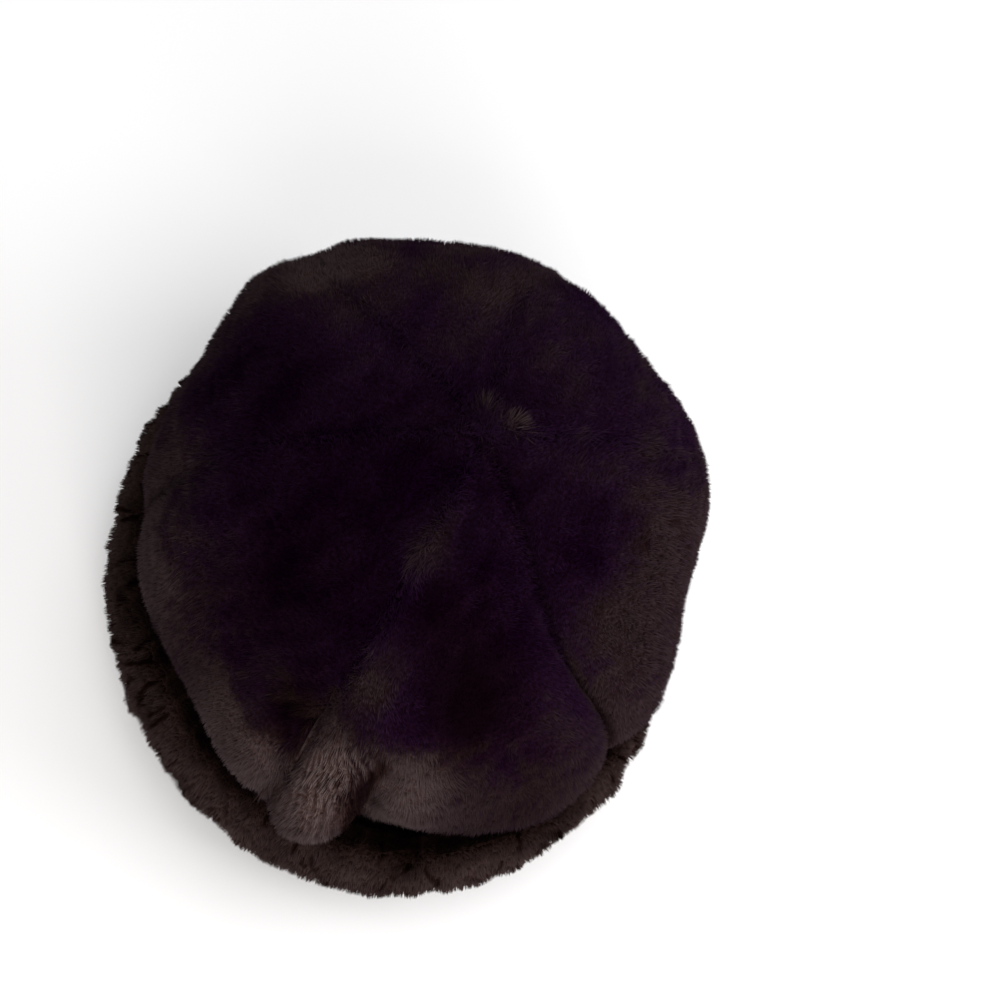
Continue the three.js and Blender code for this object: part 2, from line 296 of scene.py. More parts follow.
# Finishes, by the sockets they set: the surface, its mottling and depth, where the depth paints the
# under-fur's shade below the tips, and the grain of its bumps
HAIR_FINISH = {"Roughness": 0.8, "Specular IOR Level": 0.0}
UNDER_FUR_FINISH = {
    "Roughness": 0.95,
    "Specular IOR Level": 0.0,
    "Sheen Roughness": 0.45,
    "Sheen Tint": (0.95, 0.78, 0.74, 1.0),
}
UNDER_FUR_MOTTLE = {"Scale": 900.0, "Detail": 3.0}
UNDER_FUR_DEPTH = {"From Min": 0.3, "From Max": 0.75, "To Min": 0.1, "To Max": 0.7}
UNDER_FUR_GRAIN = {"Scale": 1500.0, "Detail": 4.0}
UNDER_FUR_BUMPS = {"Strength": 0.7, "Distance": 0.5 * MM}
SUEDE_FINISH = {"Roughness": 0.9, "Specular IOR Level": 0.1}
SUEDE_MOTTLE = {"Scale": 320.0, "Detail": 5.0}
SUEDE_SHADES = ((0.3, 0.6), (0.7, 1.5))
SUEDE_GRAIN = {"Scale": 2600.0, "Detail": 5.0}
SUEDE_BUMPS = {"Strength": 0.5, "Distance": 0.25 * MM}
FLOOR_FINISH = {"Roughness": 0.9, "Specular IOR Level": 0.1}

# Stage in metres: the floor's half width, the soft lights with their power in watts, and the camera's sensor
# in mm
FLOOR_HALF = 4.0
SKY_STRENGTH = 0.55
LIGHT_AIM = (0.0, 0.0, 0.07)
LIGHT_COLUMNS = ("name", "place", "size", "power", "colour")
LIGHT_ROWS = (
    ("key", (0.0, -1.35, 0.75), 0.9, 16.0, (1.0, 0.97, 0.94)),
    ("fill", (1.2, -0.3, 0.6), 0.9, 10.0, (0.98, 0.97, 1.0)),
    ("top", (0.1, 0.4, 1.5), 1.0, 6.0, (1.0, 0.98, 1.0)),
)
LIGHTS = [dict(zip(LIGHT_COLUMNS, row)) for row in LIGHT_ROWS]
SENSOR_WIDTH = 36.0
NEAREST_SEEN = 0.01


class CrownSettings(PropertyGroup):
    """Sizes and colours of the crown's sheared pile."""

    pile_depth: FloatProperty(
        name="Pile depth",
        description="Height of a tuft of hair from its root to its tip",
        default=3.2 * MM,
        unit="LENGTH",
    )
    under_depth: FloatProperty(
        name="Under-fur depth",
        description="How far the dense under-fur lies below the tips",
        default=1.9 * MM,
        unit="LENGTH",
    )
    hair_width: FloatProperty(
        name="Hair width",
        description="Width of a tuft of hair at its root",
        default=0.52 * MM,
        unit="LENGTH",
    )
    hairs_per_gore: IntProperty(
        name="Hairs in a gore",
        description="How many tufts of hair each gore has",
        default=24000,
        min=100,
    )
    fall: FloatProperty(
        name="Fall",
        description="How far the pile leans down the sides",
        default=0.75,
        subtype="FACTOR",
    )
    swirl: FloatProperty(
        name="Swirl",
        description="How far the nap wanders from place to place",
        default=0.35,
        subtype="FACTOR",
    )
    lumps: FloatProperty(
        name="Lumps",
        description="Height of the soft lumps of the nap",
        default=0.45 * MM,
        unit="LENGTH",
    )
    clump_size: FloatProperty(
        name="Clump size",
        description="Distance between the clumps that hairs gather into",
        default=2.2 * MM,
        unit="LENGTH",
    )
    clump_pull: FloatProperty(
        name="Clump pull",
        description="How strongly tips gather into their clump",
        default=0.25,
        subtype="FACTOR",
    )
    # The flat top's tone is darker and the upright sides' paler as painted shade and sheen of the pile seen
    # end-on and from the side; the soft colour below is the colour of the sides' painted sheen
    shaded_top_tone: FloatProperty(
        name="Top tone",
        description="Tone of the pile on the flat top, from dark to pale",
        default=0.10,
        subtype="FACTOR",
    )
    lit_side_tone: FloatProperty(
        name="Side tone",
        description="Tone of the pile on the upright sides, from dark to pale",
        default=0.55,
        subtype="FACTOR",
    )
    dark_colour: FloatVectorProperty(
        name="Dark colour",
        description="Colour of the darkest tips",
        default=(0.0090, 0.0004, 0.0115),
        subtype="COLOR",
    )
    middle_colour: FloatVectorProperty(
        name="Middle colour",
        description="Colour of the tips between dark and pale",
        default=(0.027, 0.0095, 0.0325),
        subtype="COLOR",
    )
    soft_colour: FloatVectorProperty(
        name="Soft colour",
        description="Colour of the tips on the sides, short of pale",
        default=(0.0405, 0.0236, 0.0295),
        subtype="COLOR",
    )
    # Pale tips show only where ruffles and the fan's strokes raise the tone past the sides: painted
    # highlights
    pale_colour: FloatVectorProperty(
        name="Pale colour",
        description="Colour of the palest tips",
        default=(0.252, 0.192, 0.187),
        subtype="COLOR",
    )


class CuffSettings(PropertyGroup):
    """Sizes and colours of the cuff's longer fur."""

    pile_depth: FloatProperty(
        name="Fur depth",
        description="Height of a tuft of hair from its root to its tip",
        default=4.0 * MM,
        unit="LENGTH",
    )
    under_depth: FloatProperty(
        name="Under-fur depth",
        description="How far the dense under-fur lies below the tips",
        default=2.6 * MM,
        unit="LENGTH",
    )
    hair_width: FloatProperty(
        name="Hair width",
        description="Width of a tuft of hair at its root",
        default=0.62 * MM,
        unit="LENGTH",
    )
    hairs_per_half: IntProperty(
        name="Hairs in a half",
        description="How many tufts of hair each half of the cuff has",
        default=30000,
        min=100,
    )
    partings: IntProperty(
        name="Partings",
        description="How many short partings there are round the cuff",
        default=150,
        min=1,
    )
    parting_width: FloatProperty(
        name="Parting width",
        description="How far to each side of a parting the fur lies deeper",
        default=0.9 * MM,
        unit="LENGTH",
    )
    comb: FloatProperty(
        name="Comb",
        description="How far the fur is combed over the roll and down",
        default=0.5,
        subtype="FACTOR",
    )
    swirl: FloatProperty(
        name="Swirl",
        description="How far the fur wanders from its combed way",
        default=0.25,
        subtype="FACTOR",
    )
    lumps: FloatProperty(
        name="Lumps",
        description="Height of the soft lumps of the fur",
        default=0.8 * MM,
        unit="LENGTH",
    )
    clump_size: FloatProperty(
        name="Lock size",
        description="Distance between the locks that hairs gather into",
        default=3.8 * MM,
        unit="LENGTH",
    )
    clump_pull: FloatProperty(
        name="Lock pull",
        description="How strongly tips gather into their lock",
        default=0.45,
        subtype="FACTOR",
    )
    tone: FloatProperty(
        name="Tone",
        description="Tone of the fur, from dark to pale",
        default=0.82,
        subtype="FACTOR",
    )
    hollow_shade: FloatProperty(
        name="Hollow shade",
        description="How much darker the fur is in the hollow under the crown",
        default=0.55,
        subtype="FACTOR",
    )
    dark_colour: FloatVectorProperty(
        name="Dark colour",
        description="Colour of the darkest tips",
        default=(0.0060, 0.0013, 0.0012),
        subtype="COLOR",
    )
    middle_colour: FloatVectorProperty(
        name="Middle colour",
        description="Colour of the tips between dark and pale",
        default=(0.016, 0.0090, 0.0088),
        subtype="COLOR",
    )
    soft_colour: FloatVectorProperty(
        name="Soft colour",
        description="Colour of the tips short of pale",
        default=(0.0375, 0.024, 0.0228),
        subtype="COLOR",
    )
    pale_colour: FloatVectorProperty(
        name="Pale colour",
        description="Colour of the palest tips",
        default=(0.076, 0.051, 0.0485),
        subtype="COLOR",
    )


class HideSettings(PropertyGroup):
    """Fineness and colours of the hides under the fur."""

    smoothing: IntProperty(
        name="Smoothing",
        description="How often the gores are subdivided into smooth hides",
        default=2,
        min=1,
        max=3,
    )
    roll_smoothing: IntProperty(
        name="Roll smoothing",
        description="How often the cuff is subdivided into a smooth roll",
        default=1,
        min=1,
        max=2,
    )
    sheen: FloatProperty(
        name="Sheen",
        description="Velvety sheen of the dense under-fur",
        default=0.015,
        subtype="FACTOR",
    )
    suede_colour: FloatVectorProperty(
        name="Suede colour",
        description="Colour of the bare hide inside the hat",
        default=(0.020, 0.013, 0.011),
        subtype="COLOR",
    )


class StageSettings(PropertyGroup):
    """Camera, floor and light."""

    azimuth: FloatProperty(
        name="Azimuth",
        description="Turn of the camera round the hat, from its front",
        default=math.radians(-31.8),
        unit="ROTATION",
    )
    elevation: FloatProperty(
        name="Elevation",
        description="Height of the camera's view above the horizon",
        default=math.radians(60.65),
        unit="ROTATION",
    )
    roll: FloatProperty(
        name="Roll",
        description="Turn of the camera about its line of sight",
        default=math.radians(32.18),
        unit="ROTATION",
    )
    distance: FloatProperty(
        name="Distance",
        description="Distance from the camera to the middle of the crown, along the line of sight",
        default=417.6 * MM,
        unit="LENGTH",
    )
    aim_height: FloatProperty(
        name="Aim height",
        description="Height of the place that the camera stands off from",
        default=78.5 * MM,
        unit="LENGTH",
    )
    offset_right: FloatProperty(
        name="Offset right",
        description="How far the camera stands to the right of that place",
        default=27.15 * MM,
        unit="LENGTH",
    )
    offset_up: FloatProperty(
        name="Offset up",
        description="How far the camera stands above that place, in the picture",
        default=7.83 * MM,
        unit="LENGTH",
    )
    lens: FloatProperty(
        name="Lens",
        description="Focal length in millimetres on a 36 mm sensor",
        default=39.6,
        unit="CAMERA",
    )
    floor_colour: FloatVectorProperty(
        name="Floor colour",
        description="Colour of the plain floor",
        default=(0.96, 0.96, 0.96),
        subtype="COLOR",
    )


def smoothed_solid(node, levels):
    """A smooth mesh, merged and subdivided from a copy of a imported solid's mesh."""
    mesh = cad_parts[node].data.copy()
    work = bmesh.new()
    work.from_mesh(mesh)
    bmesh.ops.remove_doubles(work, verts=work.verts[:], dist=MERGE_DISTANCE)
    bmesh.ops.join_triangles(
        work,
        faces=work.faces[:],
        angle_face_threshold=QUAD_ANGLE,
        angle_shape_threshold=math.pi,
    )
    work.to_mesh(mesh)
    work.free()
    holder = bpy.data.objects.new(node + "_smoothing", mesh)
    bpy.context.scene.collection.objects.link(holder)
    smoother = holder.modifiers.new("smooth", "SUBSURF")
    smoother.levels = levels
    smoother.render_levels = levels
    depsgraph = bpy.context.evaluated_depsgraph_get()
    smooth = bpy.data.meshes.new_from_object(holder.evaluated_get(depsgraph), depsgraph=depsgraph)
    bpy.data.objects.remove(holder)
    bpy.data.meshes.remove(mesh)
    return smooth


def mesh_points(mesh):
    """Points and smooth normals of a mesh."""
    points = np.empty(len(mesh.vertices) * 3)
    mesh.vertices.foreach_get("co", points)
    normals = np.empty(len(mesh.vertices) * 3)
    mesh.vertex_normals.foreach_get("vector", normals)
    return points.reshape(-1, 3), normals.reshape(-1, 3)


def mesh_triangles(mesh):
    """Corner numbers of a mesh's triangles."""
    mesh.calc_loop_triangles()
    corners = np.empty(len(mesh.loop_triangles) * 3, dtype=np.int32)
    mesh.loop_triangles.foreach_get("vertices", corners)
    return corners.reshape(-1, 3)


def unit(vectors):
    """Vectors at length one."""
    return vectors / np.maximum(np.linalg.norm(vectors, axis=-1, keepdims=True), LENGTH_LEAST)


def ease(values, low, high):
    """A smooth step from 0 at low to 1 at high."""
    share = np.clip((values - low) / (high - low), 0.0, 1.0)
    return share * share * (3.0 - 2.0 * share)


def wander(points, name):
    """Smooth wandering vectors of one of the fields, as a sum of seeded waves of about one wavelength."""
    rng = np.random.default_rng(WANDERS[name]["seed"])
    lengths = WANDERS[name]["wavelength"] * MM / rng.uniform(*WANDER_SPREAD, (WANDER_WAVES, 1))
    waves = unit(rng.normal(size=(WANDER_WAVES, 3))) * 2 * math.pi / lengths
    swings = rng.normal(size=(WANDER_WAVES, 3))
    phases = rng.uniform(0, 2 * math.pi, WANDER_WAVES)
    return np.sin(points @ waves.T + phases) @ swings / math.sqrt(WANDER_WAVES)


def along_surface(vectors, normals):
    """The part of each vector that lies along its surface."""
    return vectors - normals * np.sum(vectors * normals, axis=1, keepdims=True)


def facing_out(points, normals):
    """How squarely each place on the crown faces out of the hat, from -1 to 1."""
    return np.sum(unit(points - HAT_CORE) * normals, axis=1)


def crown_outside(points, normals):
    """How far each place on a gore is furred, from 0 to 1."""
    return ease(facing_out(points, normals), OUTSIDE_FROM, OUTSIDE_TO)


def crown_inside(points, normals):
    """Which places on a gore are its bare inner face."""
    return facing_out(points, normals) < INSIDE_FACING


def cuff_inside(points, normals):
    """Which places on the cuff are bare: none, since it is rolled fur all round."""
    return np.zeros(len(points), dtype=bool)


def cuff_outside(points, normals):
    """How far each place on the cuff is furred: its outer face and crest, not its foot or inner wall."""
    radial = unit(points * np.array([1.0, 1.0, 0.0]))
    foot = ease(-normals[:, 2], *FOOT_FACING)
    inner = ease(-np.sum(radial * normals, axis=1), *INNER_WALL_FACING)
    return (1.0 - foot) * (1.0 - inner)


def scatter(mesh, outside, crowd, count, rng):
    """Places scattered over the furred part of a mesh, closer where it is crowded, with their normals."""
    points, normals = mesh_points(mesh)
    triangles = mesh_triangles(mesh)
    furred = outside(points, normals)
    corners = points[triangles]
    area = np.linalg.norm(np.cross(corners[:, 1] - corners[:, 0], corners[:, 2] - corners[:, 0]), axis=1)
    area *= (furred[triangles].mean(axis=1) > FURRED_LEAST) * (1.0 + crowd[triangles].mean(axis=1))
    weight = np.cumsum(area)
    draws = (np.arange(count) + rng.uniform(size=count)) / count * weight[-1]
    picked = triangles[np.searchsorted(weight, draws)]
    first = np.sqrt(rng.uniform(size=(count, 1)))
    second = rng.uniform(size=(count, 1))
    shares = np.concatenate([1 - first, first * (1 - second), first * second], axis=1)[:, :, None]
    return (points[picked] * shares).sum(axis=1), unit((normals[picked] * shares).sum(axis=1))


def search_tree(points):
    """A tree that finds the nearest of some points."""
    tree = KDTree(len(points))
    for number, point in enumerate(points):
        tree.insert(point, number)
    tree.balance()
    return tree


def nearest(points, others):
    """The nearest of the other points to each point, and its distance."""
    tree = search_tree(others)
    found = [tree.find(point) for point in points]
    return others[[number for _, number, _ in found]], np.array([distance for _, _, distance in found])


def gather(tips, spacing, pull, rng):
    """Tips drawn towards the clumps or locks that they belong to, and the number of each one's clump."""
    cells = {}
    for index in rng.permutation(len(tips)):
        cells.setdefault(tuple(np.floor(tips[index] / spacing).astype(int)), index)
    centres = tips[np.array(list(cells.values()))]
    tree = search_tree(centres)
    clump = np.array([tree.find(tip)[1] for tip in tips])
    share = pull * rng.uniform(*GATHERED, (len(tips), 1))
    return tips + (centres[clump] - tips) * share, clump


def at_seams(points, column):
    """A column of the seam table at each place, blended from seam to seam by bearing and from top to rim."""
    bearing = np.degrees(np.arctan2(points[:, 1], points[:, 0]))
    away = np.array([(bearing - seam["angle"] + 180) % 360 - 180 for seam in SEAMS])
    pull = np.exp(-((away / SEAM_BLEND_DEG) ** 2)) + SEAM_PULL_LEAST
    pull /= pull.sum(axis=0)
    top = np.array([seam["top_" + column] for seam in SEAMS]) @ pull
    rim = np.array([seam["rim_" + column] for seam in SEAMS]) @ pull
    return top + (rim - top) * ease(np.hypot(points[:, 0], points[:, 1]), SEAM_TOP_REACH, SEAM_RIM_REACH)


def crown_forms(settings, hides):
    """Smooth forms of the gores: the solids, with the pile closing over the seams and in soft lumps."""
    forms = {node: smoothed_solid(node, hides.smoothing) for node in GORES}
    shapes = {node: mesh_points(form) for node, form in forms.items()}
    walls = {node: seam_walls(form) for node, form in forms.items()}
    for node, form in forms.items():
        points, normals = shapes[node]
        others = np.concatenate([walls[other] for other in GORES if other != node])
        _, gap = nearest(points, others)
        rolled = 1 - np.sin(math.pi / 2 * np.clip(gap / SEAM_ROLL_WIDTH, 0.0, 1.0))
        rolled *= ease(points[:, 2], SEAM_FADE_LOW, SEAM_FADE_HIGH)
        lift = SEAM_ROLL_DEPTH * at_seams(points, "close") * rolled
        lumps = wander(points, "crown_lumps")[:, 0] + SWELL_SHARE * wander(points, "crown_swells")[:, 0]
        lift += settings.lumps * lumps
        lift *= ease(facing_out(points, normals), -OUTSIDE_FROM, OUTSIDE_FROM)
        points += unit(points - HAT_CORE) * lift[:, None]
        points -= crown_point_draw(points) * CROWN_POINT["shut"] * MM
        form.vertices.foreach_set("co", points.reshape(-1))
        store_values(form, BESIDE, np.exp(-((gap / SEAM_RUFFLE_REACH) ** 2)))
        form.update()
    return forms


def store_values(mesh, label, values):
    """Keep a value at each point of a mesh."""
    mesh.attributes.new(label, "FLOAT", "POINT").data.foreach_set("value", values.astype(np.float32))


def seam_walls(form):
    """Places close together over the narrow walls of a gore's form, which face its neighbours."""
    points, normals = mesh_points(form)
    wall = np.abs(facing_out(points, normals)) < SEAM_WALL_FACING
    triangles = mesh_triangles(form)
    corners = points[triangles[wall[triangles].all(axis=1)]]
    sides = [(corners[:, side] + corners[:, side - 1]) / 2 for side in range(3)]
    return np.concatenate([points[wall], corners.mean(axis=1), *sides])


def beside_seam(form):
    """How near each point of a gore's form lies to a seam, from 0 to 1."""
    beside = np.empty(len(form.vertices), dtype=np.float32)
    form.attributes[BESIDE].data.foreach_get("value", beside)
    return beside


def crown_point_draw(points):
    """Vectors away from the point of the crown, of length one near it and fading with distance."""
    away = points - np.array([CROWN_POINT["x"] * MM, CROWN_POINT["y"] * MM, 0.0])
    away[:, 2] = 0.0
    distance = np.linalg.norm(away, axis=1, keepdims=True)
    return unit(away) * np.exp(-((distance / (CROWN_POINT["reach"] * MM)) ** 2))


def cuff_form(settings, hides):
    """The smooth form of the cuff: its solid, with soft lumps in its fur."""
    form = smoothed_solid(CUFF, hides.roll_smoothing)
    points, normals = mesh_points(form)
    lift = settings.lumps * (wander(points, "cuff_lumps")[:, 0] + wander(points, "cuff_swells")[:, 0])
    points += normals * (lift * cuff_outside(points, normals))[:, None]
    points[:, 2] = np.maximum(points[:, 2], 0.0)
    form.vertices.foreach_set("co", points.reshape(-1))
    form.update()
    return form


def hair_mesh(name, roots, tips, width, tone, shade, rng):
    """Closed tapering hairs, three-sided, from their roots up to their tips, some in shadow."""
    count = len(tips)
    turn = rng.uniform(0, 2 * math.pi, (count, 1))
    axis = unit(tips - roots)
    guide = np.where(np.abs(axis[:, 2:]) < STEEP, (0.0, 0.0, 1.0), (1.0, 0.0, 0.0))
    across = unit(np.cross(axis, guide))
    upward = np.cross(axis, across)
    corners = []
    for side in range(3):
        angle = turn + side * 2 * math.pi / 3
        corners.append(roots + width / 2 * (across * np.cos(angle) + upward * np.sin(angle)))
    points = np.stack([*corners, tips], axis=1)
    # Painted shade: a hair in shadow takes less of the way along, so the root shades darken all of it
    along = np.array([0.0, ALONG_STEP, 0.0, 1.0]) * (1.0 - np.clip(shade, 0.0, SHADE_MOST)[:, None])
    tones = tone[:, None] + np.array([-TONE_STEP, 0.0, TONE_STEP, 0.0])
    firsts = np.arange(count)[:, None, None] * points.shape[1]
    faces = (firsts + np.array(HAIR_FACES)).reshape(-1, 3)
    mesh = mesh_from_arrays(name, points.reshape(-1, 3), faces)
    places = np.stack([tones.reshape(-1), along.reshape(-1)], axis=1)
    store_values(mesh, TONE, places[:, 0])
    store_values(mesh, ALONG_AND_SHADE, places[:, 1])
    bake_map = mesh.uv_layers.new(name=BAKE_MAP)
    bake_map.data.foreach_set("uv", places[faces.reshape(-1)].astype(np.float32).reshape(-1))
    return mesh


def mesh_from_arrays(name, points, faces):
    """A triangle mesh from arrays of points and corner numbers."""
    mesh = bpy.data.meshes.new(name)
    mesh.vertices.add(len(points))
    mesh.vertices.foreach_set("co", points.astype(np.float32).reshape(-1))
    mesh.loops.add(faces.size)
    mesh.loops.foreach_set("vertex_index", faces.astype(np.int32).reshape(-1))
    mesh.polygons.add(len(faces))
    mesh.polygons.foreach_set("loop_start", np.arange(0, faces.size, 3, dtype=np.int32))
    mesh.update(calc_edges=True)
    mesh.validate()
    return mesh


def place_piece(name, mesh, node=None):
    """A finished piece of the hat: it rides on the body, and may stand for a solid."""
    piece = bpy.data.objects.new(name, mesh)
    bpy.context.scene.collection.objects.link(piece)
    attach(piece, BODY)
    if node:
        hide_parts(node)
    return piece


def set_sockets(node, values):
    """Constant values on a node's sockets."""
    for socket, value in values.items():
        node.inputs[socket].default_value = value


def new_material(name, finish):
    """A node material with a finish, and its shader unless the material was already made."""
    material = bpy.data.materials.get(name)
    if material:
        return material, None
    material = bpy.data.materials.new(name)
    material.use_nodes = True
    shader = material.node_tree.nodes["Principled BSDF"]
    set_sockets(shader, finish)
    return material, shader


def ramp_node(tree, stops):
    """A colour ramp through stops of place and colour."""
    node = tree.nodes.new("ShaderNodeValToRGB")
    elements = node.color_ramp.elements
    while len(elements) < len(stops):
        elements.new(0.5)
    for element, (place, colour) in zip(elements, stops):
        element.position = place
        element.color = (*colour, 1.0)
    return node


def stored_value(tree, label):
    """The values kept at a mesh's points, as a socket."""
    node = tree.nodes.new("ShaderNodeAttribute")
    node.attribute_name = label
    return node.outputs["Fac"]


def toned_colour(tree, along, settings):
    """Colour of fur: its tone runs from dark to pale, and painted shade darkens it down to its roots and in
    shadow.
    """
    stops = [settings.dark_colour, settings.middle_colour, settings.soft_colour, settings.pale_colour]
    tips = ramp_node(tree, [(place, tuple(colour)) for place, colour in zip(TONE_STOPS, stops)])
    depth = ramp_node(tree, ROOT_SHADES)
    blend = tree.nodes.new("ShaderNodeMix")
    blend.data_type = "RGBA"
    blend.blend_type = "MULTIPLY"
    blend.inputs["Factor"].default_value = 1.0
    tree.links.new(stored_value(tree, TONE), tips.inputs["Fac"])
    tree.links.new(along, depth.inputs["Fac"])
    tree.links.new(tips.outputs["Color"], blend.inputs["A"])
    tree.links.new(depth.outputs["Color"], blend.inputs["B"])
    return blend.outputs["Result"]


def fur_material(name, settings):
    """Hair: roots darkened to near-black as painted shade, and tips whose colour follows their tone."""
    material, shader = new_material(name, HAIR_FINISH)
    if shader is None:
        return material
    tree = material.node_tree
    colour = toned_colour(tree, stored_value(tree, ALONG_AND_SHADE), settings)
    tree.links.new(colour, shader.inputs["Base Color"])
    return material


def noise_of(tree, grain):
    """Noise of a grain in the piece's own frame, as a socket."""
    place = tree.nodes.new("ShaderNodeTexCoord")
    noise = tree.nodes.new("ShaderNodeTexNoise")
    set_sockets(noise, grain)
    tree.links.new(place.outputs["Object"], noise.inputs["Vector"])
    return noise.outputs["Fac"]


def add_bumps(tree, shader, grain, bumps):
    """Fine bumps of a grain on a shader."""
    node = tree.nodes.new("ShaderNodeBump")
    set_sockets(node, bumps)
    tree.links.new(noise_of(tree, grain), node.inputs["Height"])
    tree.links.new(node.outputs["Normal"], shader.inputs["Normal"])


def under_fur_material(name, settings, sheen):
    """Dense under-fur seen between the hairs: mottled, velvety, and darker than the tips with painted shade.
    """
    material, shader = new_material(name, UNDER_FUR_FINISH)
    if shader is None:
        return material
    shader.inputs["Sheen Weight"].default_value = sheen
    tree = material.node_tree
    depth = tree.nodes.new("ShaderNodeMapRange")
    set_sockets(depth, UNDER_FUR_DEPTH)
    tree.links.new(noise_of(tree, UNDER_FUR_MOTTLE), depth.inputs["Value"])
    along = tree.nodes.new("ShaderNodeMath")
    along.operation = "MULTIPLY"
    tree.links.new(depth.outputs["Result"], along.inputs[0])
    tree.links.new(stored_value(tree, ALONG_AND_SHADE), along.inputs[1])
    tree.links.new(toned_colour(tree, along.outputs["Value"], settings), shader.inputs["Base Color"])
    add_bumps(tree, shader, UNDER_FUR_GRAIN, UNDER_FUR_BUMPS)
    return material


def suede_material(colour):
    """The bare hide inside the crown: dark suede with a fine nap."""
    material, shader = new_material("suede", SUEDE_FINISH)
    if shader is None:
        return material
    tree = material.node_tree
    stops = [(place, tuple(share * part for part in colour)) for place, share in SUEDE_SHADES]
    shade = ramp_node(tree, stops)
    tree.links.new(noise_of(tree, SUEDE_MOTTLE), shade.inputs["Fac"])
    tree.links.new(shade.outputs["Color"], shader.inputs["Base Color"])
    add_bumps(tree, shader, SUEDE_GRAIN, SUEDE_BUMPS)
    return material


def crown_sink(form, points, normals, settings):
    """How the crown's hide lies below its pile, sewn to its neighbours and down into the cuff."""
    beside = beside_seam(form)
    depth = settings.under_depth + SEAM_SINK * beside
    depth *= ease(facing_out(points, normals), -OUTSIDE_FROM, OUTSIDE_FROM)
    sink = unit(points - HAT_CORE) * depth[:, None]
    sink -= normals * (SEAM_SEWN * beside * (1.0 - crown_outside(points, normals)))[:, None]
    turn_in = HEM_TURN_IN + HEM_CORNER_TURN_IN * beside
    sink[:, 2] += turn_in * (1.0 - ease(points[:, 2], HEM_LOW, HEM_HIGH))
    return sink


def cuff_sink(form, points, normals, settings):
    """How the cuff's roll lies below its fur."""
    return normals * (cuff_outside(points, normals) * settings.under_depth)[:, None]


def dress_hide(piece_name, form, furs, sink, inside, tone_of, shade_of, settings, hides):
    """A hide on its form: the furred face is drawn in to the under-fur, and the bare face is suede."""
    points, normals = mesh_points(form)
    bare = inside(points, normals)
    store_values(form, TONE, np.clip(tone_of(points, normals, settings), TONE_LEAST, TONE_MOST))
    # Painted shade: the hide keeps one less its shade as its share of the way along, which darkens its
    # under-fur
    store_values(form, ALONG_AND_SHADE, 1.0 - np.clip(shade_of(points), 0.0, SHADE_MOST))
    points -= sink(form, points, normals, settings)
    form.vertices.foreach_set("co", points.reshape(-1))
    form.materials.clear()
    form.materials.append(under_fur_material(furs + "_under", settings, hides.sheen))
    form.materials.append(suede_material(tuple(hides.suede_colour)))
    corners = np.empty(len(form.loops), dtype=np.int32)
    form.loops.foreach_get("vertex_index", corners)
    starts = np.empty(len(form.polygons), dtype=np.int32)
    form.polygons.foreach_get("loop_start", starts)
    form.polygons.foreach_set("material_index", bare[corners[starts]].astype(np.int32))
    form.name = piece_name
    form.update()
    return form


def strokes(points):
    """Fine strokes that run down the crown's sides, from about -1 to 1."""
    round_about = np.arctan2(points[:, 1], points[:, 0]) * STROKE_RADIUS
    drawn_out = np.stack([round_about, points[:, 2] / STROKE_LENGTH, np.zeros(len(points))], axis=1)
    return wander(drawn_out, "crown_strokes")[:, 0]


def fan_strokes(points):
    """Strokes that fan out down the tuck from the pinch above it, from -1 to 1 and fading with distance."""
    away = points[:, :2] / MM - np.array([FAN_START["x"], FAN_START["y"]])
    aside = np.degrees(np.arctan2(away[:, 1], away[:, 0])) - FAN["angle"]
    aside = (aside + 180) % 360 - 180
    beyond = (np.linalg.norm(away, axis=1) - FAN_START["reach"]) / FAN_START["fade"]
    waver = FAN["waver"] * wander(points, "fan_waver")[:, 0]
    felt = np.exp(-((aside / FAN["spread"]) ** 2) - beyond**2)
    return felt * np.sin(FAN["count"] * np.radians(aside) + waver)


def crown_tone(node, points, normals, settings, unevenness=0.0):
    """Tone of a gore's pile: painted shade on top, painted sheen on the sides, patches of nap, and ruffles.
    """
    upright = ease(1.0 - normals[:, 2], *UPRIGHT)
    tone = settings.shaded_top_tone + (settings.lit_side_tone - settings.shaded_top_tone) * upright
    patches = PATCH_TONE * wander(points, "crown_patches")[:, 1]
    patches += MOTTLE_TONE * wander(points, "crown_mottle")[:, 1]
    tone += patches * (1.0 - PATCH_FADE * upright) + STROKE_TONE * upright * strokes(points)
    tone = np.minimum(tone + ruffled(node, points, "tone") + unevenness, SIDE_TONE_MOST)
    if node == FAN_GORE:
        tone += FAN["tone"] * fan_strokes(points)
    return tone + ruffled(node, points, "pale")


def crown_shade(node, points):
    """How deep in shadow a gore's pile lies: at ruffles, between the fan's strokes and where it curdles."""
    shade = ease(wander(points, "crown_curdle")[:, 0], *CURDLE_STEP)
    shade *= LEAST_CURDLED_SHADE + CURDLED_SHADE * ruffle_share(points, CURDLED)
    if node == FAN_GORE:
        shade += FAN["shade"] * np.maximum(-fan_strokes(points), 0.0)
    return shade + ruffled(node, points, "shade")


def ruffled(node, points, column):
    """Sum of a column of the ruffle table at each place on a gore."""
    felt = [ruffle for ruffle in RUFFLES if ruffle["gore"] in ("", node)]
    return sum(ruffle[column] * ruffle_share(points, ruffle) for ruffle in felt)


def round_the_roll(points):
    """Where places lie on the cuff's roll: bearing, radius, and angle up over it from its outer side."""
    bearing = np.arctan2(points[:, 1], points[:, 0])
    radius = np.hypot(points[:, 0], points[:, 1])
    core = 0.5 / np.hypot(np.cos(bearing) / ROLL_CORE["width"], np.sin(bearing) / ROLL_CORE["length"])
    return bearing, radius, np.arctan2(points[:, 2] - ROLL_CORE["height"], radius - core)


